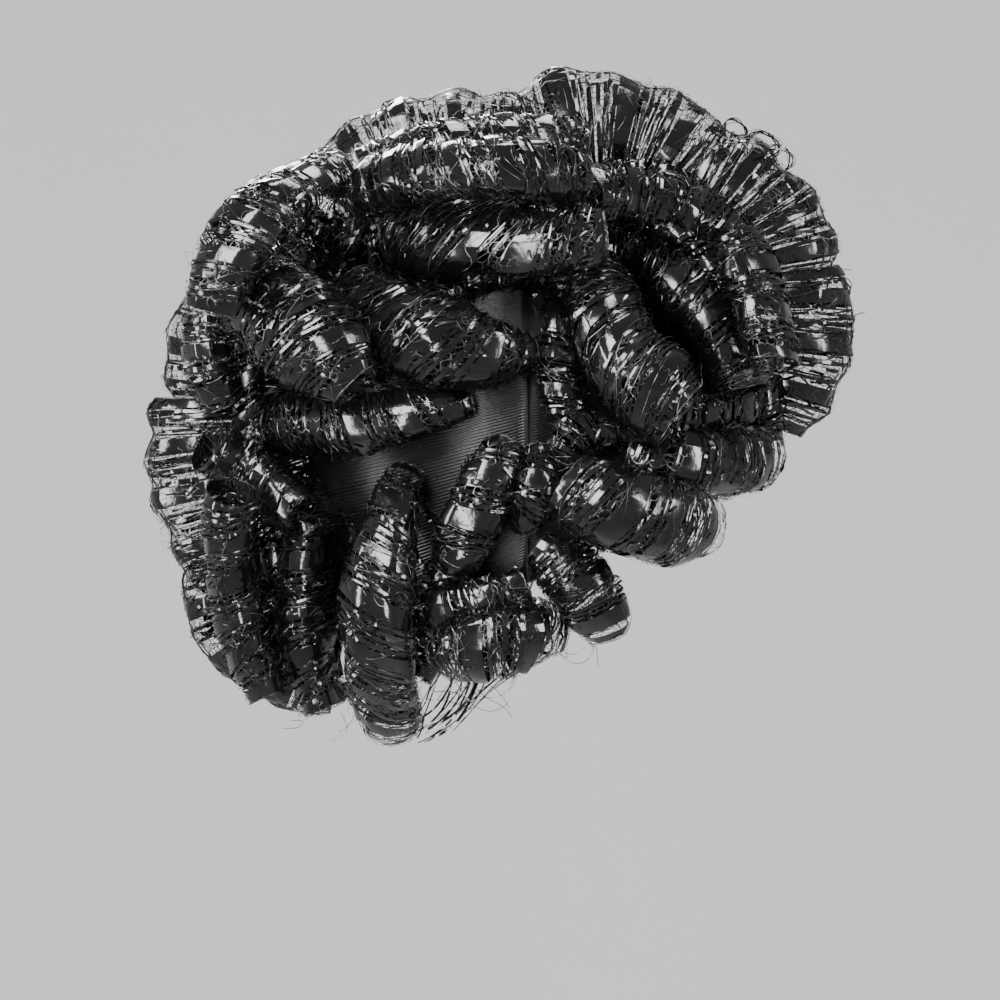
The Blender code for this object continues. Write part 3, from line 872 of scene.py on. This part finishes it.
def strand_lines():
    """Loose strands below the rim on both sides, and round loops of edge thread on the outline."""
    random = np.random.default_rng(77)
    step = np.linspace(0, 1, 24)
    lines, widths = [], []
    for x0, z0, x1, z1, x2, z2, width, y in LOOSE_STRANDS:
        for side in (-1, 1):
            corners = ((x0, y, z0), (x1, y + 3, z1), (x2, y, z2))
            first, middle, last = (np.array((x, side * out, z)) * MM for x, out, z in corners)
            share = step[:, None]
            line = first * (1 - share) ** 2 + 2 * middle * share * (1 - share) + last * share**2
            wave = np.sin(step[:, None] * random.uniform(3, 8, 3) + random.uniform(0, 6, 3))
            lines.append(line + wave * random.uniform(0.3, 1.2) * MM)
            widths.append(width * MM)
    for x, z, radius, turn in EDGE_LOOPS:
        for _ in range(5):
            heading = step * math.tau + random.uniform(0, 6)
            size = radius + random.uniform(-1, 1)
            size = (size + np.sin(heading * random.integers(2, 4) + random.uniform(0, 6))) * MM
            flat = np.cos(heading) * size
            upright = np.sin(heading) * size * 0.85
            lean = turn + random.normal(0, 0.12)
            ring = np.column_stack((flat * math.cos(lean), flat * math.sin(lean), upright))
            lines.append(np.array((x, 0, z)) * MM + ring)
            widths.append(random.uniform(0.25, 0.7) * MM)
    return np.array(lines), np.array(widths)


def make_strands():
    """The loose strands and the outline's loops, as one piece."""
    lines, widths = strand_lines()
    random = np.random.default_rng(78)
    facing = np.gradient(lines, axis=1)[..., ::-1] * (1, 0, -1)
    facing = unit(facing + random.normal(0, 0.2, lines.shape) + (0, 1.2, 0))
    points, faces = tape(lines, facing, widths[:, None, None])
    return finish_piece(add_object("loose_strands", points, faces, [film_finish()]))


def finish_piece(piece):
    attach(piece, "root")
    return piece


def make_ruffle(region, table, side, seed):
    """One region's ruffle on one side: a net ribbon for the frame's curls, and the strips and threads.

    The small curls under the others have strips and threads alone.
    """
    prefix = {0: "", -1: "right_", 1: "left_"}[side]
    rows_of = {**table, **UNDER.get(region, {})}
    curls = [Curl(name, rows, side, seed + i) for i, (name, rows) in enumerate(rows_of.items())]
    shown = curls[: len(table)]
    nets = [net_of(curl) for curl in shown]
    points, faces = joined(nets)
    places = np.concatenate([net[2] for net in nets])
    net = add_object(f"{prefix}{region}_net", points, faces, [net_finish()], uvs=places)
    cap = surface_of("cap")
    films, threads = [], []
    for curl in curls:
        wide, narrow = strip_plan(curl)
        hem_strips, hem_threads = hems_of(curl, cap)
        parted = 0 if curl.hidden_ridge else 0.4
        films.append(strips_of(curl, wide, folds=14, ply=3, loose=0.0, parted=0))
        films.append(strips_of(curl, narrow, folds=17, ply=2, loose=0.6, parted=parted))
        films += [flecks_of(curl), hem_strips]
        threads += [threads_of(curl), hem_threads]
    film, film_faces = joined(films)
    thread, thread_faces = joined(threads)
    strips = add_object(
        f"{prefix}{region}_strips",
        np.concatenate((film, thread)),
        np.concatenate((film_faces, thread_faces + len(film))),
        [film_finish(), thread_finish()],
        indices=np.repeat((0, 1), (len(film_faces), len(thread_faces))),
    )
    for piece in (net, strips):
        finish_piece(piece)
    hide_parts(*[prefix + name for name in table])
    length = sum(curl.length for curl in shown)
    width = sum(curl.length * curl.cut() for curl in shown) / length


# Cap


def rim_angle(half, heading):
    """Angle down from the cap's top at which the rim's slanted plane is met."""
    slope = (RIM_FRONT[1] - RIM_BACK[1]) / (RIM_FRONT[0] - RIM_BACK[0])
    drop = RIM_FRONT[1] - slope * RIM_FRONT[0] - CAP_CENTRE[2]
    across = -slope * half[0] * np.cos(heading)
    return np.arctan2(across, half[2]) + np.arccos(drop / np.hypot(half[2], across))


def dome(half, headings, shares, proud):
    """Rows of points from near the cap's top to its rim, each pushed out by its own amount."""
    rim = rim_angle(half, headings)[None]
    share = shares[:, None]
    down = rim.mean() * share + (rim - rim.mean()) * share**1.7
    flat = np.sin(down)
    round_points = np.stack((np.cos(headings) * flat, np.sin(headings) * flat, np.cos(down)), axis=-1)
    points = CAP_CENTRE + half * round_points
    return points + unit(round_points / half) * proud(points, shares)[..., None]


def make_cap():
    """The stretch cap: ribs outside, a smooth seam down each side, a turned hem and a plain inside."""
    settings = bpy.context.scene.hat_cap
    seam = settings.seam_width / 2
    turn = math.asin(seam / CAP_HALF[0])
    beside_seam = np.array((-1.2, -0.95, -0.5, 0, 0.5, 0.95, 1.2)) * turn
    extra = [side + step for side in (math.pi / 2, 1.5 * math.pi) for step in beside_seam]
    headings = np.array(sorted([*np.linspace(0, math.tau, 112, endpoint=False), *extra]))
    ribs = int(2.3 * CAP_HEIGHT / settings.rib_pitch)
    top, inside_rows = 0.004, 40

    def ribbed(points, shares):
        from_seam = np.abs(points[..., 0]) - seam
        on_cloth = np.clip(from_seam / (0.6 * MM), 0, 1)
        rib = RIB_PROFILE[np.arange(len(shares)) % len(RIB_PROFILE)] * settings.rib_height
        rise = rib[:, None] * on_cloth + (1 - on_cloth) * settings.rib_height * SEAM_SHARE
        return np.where(shares[:, None] > HEM_START, HEM_HEIGHT, rise) - CLOTH_SUNK

    def plain(points, shares):
        return np.zeros(points.shape[:2])

    outside = dome(CAP_HALF, headings, np.linspace(top, 1, len(RIB_PROFILE) * ribs), ribbed)
    inside = dome(CAP_HALF - CAP_WALL, headings, np.linspace(1, top, inside_rows), plain)
    rows = np.concatenate((outside, inside))
    cap = add_object("ribbed_cap", rows, ring_faces(len(rows), len(headings)), [rib_finish()])
    finish_piece(cap)
    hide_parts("cap")


# Studio


def add_light(name, place, size, power):
    """A softbox that points at the hat."""
    lamp = bpy.data.lights.new(name, "AREA")
    lamp.shape = "RECTANGLE"
    lamp.size, lamp.size_y = size
    lamp.energy = power
    light = bpy.data.objects.new(name, lamp)
    light.location = place
    light.rotation_euler = (Vector(HAT_MIDDLE) - Vector(place)).to_track_quat("-Z", "Y").to_euler()
    bpy.context.scene.collection.objects.link(light)


def make_floor(settings):
    """A round pale floor that curves up into a backdrop all the way round."""
    profile = [(0.02, 0.0), (FLOOR_FLAT, 0.0)]
    for angle in np.linspace(0.1, math.pi / 2, 12):
        profile.append((FLOOR_FLAT + FLOOR_BEND * math.sin(angle), FLOOR_BEND * (1 - math.cos(angle))))
    profile.append((FLOOR_FLAT + FLOOR_BEND, FLOOR_WALL))
    headings = np.linspace(0, math.tau, 97)[:-1]
    radius, height = np.array(profile).T
    level = np.repeat(height[:, None], len(headings), axis=1) + settings.floor_height
    radius = radius[:, None]
    points = np.stack((radius * np.cos(headings), radius * np.sin(headings), level), axis=-1)
    colour = settings.floor_colour
    material, _ = new_material(
        "pale_paper", colour, roughness=(0.75, 0.9), fineness=300, patch=2, bump=(0.05, 0.0005), spread=0.02
    )
    add_object("floor", points, ring_faces(len(profile), len(headings)), [material])


def make_camera():
    """A camera level with the hat's right side, framed as the photograph is."""
    camera = bpy.data.cameras.new("camera")
    camera.sensor_width = SENSOR_WIDTH / MM
    width = IMAGE_SIZE / PIXELS_PER_MM * MM
    camera.lens = SENSOR_WIDTH / MM * CAMERA_DISTANCE / width
    camera.clip_end = 20
    eye = bpy.data.objects.new("camera", camera)
    across = (IMAGE_SIZE / 2 - ORIGIN_PIXEL[0]) / PIXELS_PER_MM * MM
    up = (ORIGIN_PIXEL[1] - IMAGE_SIZE / 2) / PIXELS_PER_MM * MM
    eye.location = (across, -CAMERA_DISTANCE, up)
    eye.rotation_euler = (math.pi / 2, 0, 0)
    bpy.context.scene.collection.objects.link(eye)
    bpy.context.scene.camera = eye


def make_world():
    world = bpy.data.worlds.new("studio")
    world.use_nodes = True
    air = world.node_tree.nodes["Background"]
    air.inputs["Color"].default_value = AIR_COLOUR
    air.inputs["Strength"].default_value = AIR_STRENGTH
    bpy.context.scene.world = world


# Operators


class CapOperator(bpy.types.Operator):
    """Build the ribbed stretch cap"""

    bl_idname = "hat.cap"
    bl_label = "Ribbed cap"

    def execute(self, context):
        make_cap()
        return {"FINISHED"}


class OutlineOperator(bpy.types.Operator):
    """Build the ring of large curls round the outline"""

    bl_idname = "hat.outline"
    bl_label = "Outline ruffle"

    def execute(self, context):
        make_ruffle("outline", OUTLINE, 0, 100)
        return {"FINISHED"}


def build_region(region, seed):
    """A region's ruffle on the right, then on the left."""
    for side in (-1, 1):
        make_ruffle(region, REGIONS[region], side, seed + 50 * (side + 1))


class CrownOperator(bpy.types.Operator):
    """Build the crown's curls on both sides"""

    bl_idname = "hat.crown"
    bl_label = "Crown ruffle"

    def execute(self, context):
        build_region("crown", 200)
        return {"FINISHED"}


class BrowOperator(bpy.types.Operator):
    """Build the curls over the brow and cheek on both sides"""

    bl_idname = "hat.brow"
    bl_label = "Brow ruffle"

    def execute(self, context):
        build_region("brow", 400)
        return {"FINISHED"}


class TempleOperator(bpy.types.Operator):
    """Build the curls over temple and ear on both sides"""

    bl_idname = "hat.temple"
    bl_label = "Temple ruffle"

    def execute(self, context):
        build_region("temple", 600)
        return {"FINISHED"}


class SideOperator(bpy.types.Operator):
    """Build the curls behind the ear on both sides"""

    bl_idname = "hat.side"
    bl_label = "Side ruffle"

    def execute(self, context):
        build_region("side", 800)
        return {"FINISHED"}


class BackOperator(bpy.types.Operator):
    """Build the outer curls of the back on both sides"""

    bl_idname = "hat.back"
    bl_label = "Back ruffle"

    def execute(self, context):
        build_region("back", 1000)
        return {"FINISHED"}


class NapeOperator(bpy.types.Operator):
    """Build the curls that hang at the nape on both sides"""

    bl_idname = "hat.nape"
    bl_label = "Nape ruffle"

    def execute(self, context):
        build_region("nape", 1200)
        return {"FINISHED"}


class StrandsOperator(bpy.types.Operator):
    """Build the loose strands at the rim and the loops on the outline"""

    bl_idname = "hat.strands"
    bl_label = "Loose strands"

    def execute(self, context):
        make_strands()
        return {"FINISHED"}


class StudioOperator(bpy.types.Operator):
    """Build the floor, the lights and the camera"""

    bl_idname = "hat.studio"
    bl_label = "Studio"

    def execute(self, context):
        settings = context.scene.hat_studio
        make_floor(settings)
        make_world()
        make_camera()
        for name, place, size, share in SOFTBOXES:
            add_light(name, place, size, settings.key_power * share)
        return {"FINISHED"}


class HatPanel(bpy.types.Panel):
    """Lists the steps that build the hat"""

    bl_idname = "VIEW3D_PT_hat"
    bl_label = "Turban hat"
    bl_space_type = "VIEW_3D"
    bl_region_type = "UI"
    bl_category = "Hat"

    def draw(self, context):
        for settings in (context.scene.hat_ruffles, context.scene.hat_cap, context.scene.hat_studio):
            box = self.layout.box()
            for name in settings.bl_rna.properties.keys():
                if name not in ("rna_type", "name"):
                    box.prop(settings, name)
        for operator in OPERATORS:
            self.layout.operator(operator.bl_idname)


OPERATORS = (
    CapOperator,
    OutlineOperator,
    CrownOperator,
    BrowOperator,
    TempleOperator,
    SideOperator,
    BackOperator,
    NapeOperator,
    StrandsOperator,
    StudioOperator,
)
SETTINGS = {"hat_ruffles": RuffleSettings, "hat_cap": CapSettings, "hat_studio": StudioSettings}


def register():
    for kind in (*SETTINGS.values(), *OPERATORS, HatPanel):
        bpy.utils.register_class(kind)
    for name, kind in SETTINGS.items():
        setattr(bpy.types.Scene, name, PointerProperty(type=kind))


def unregister():
    for name in SETTINGS:
        delattr(bpy.types.Scene, name)
    for kind in reversed((*SETTINGS.values(), *OPERATORS, HatPanel)):
        bpy.utils.unregister_class(kind)


def main():
    register()
    bpy.ops.hat.cap()
    bpy.ops.hat.outline()
    bpy.ops.hat.crown()
    bpy.ops.hat.brow()
    bpy.ops.hat.temple()
    bpy.ops.hat.side()
    bpy.ops.hat.back()
    bpy.ops.hat.nape()
    bpy.ops.hat.strands()
    bpy.ops.hat.studio()


if __name__ == "__main__":
    main()
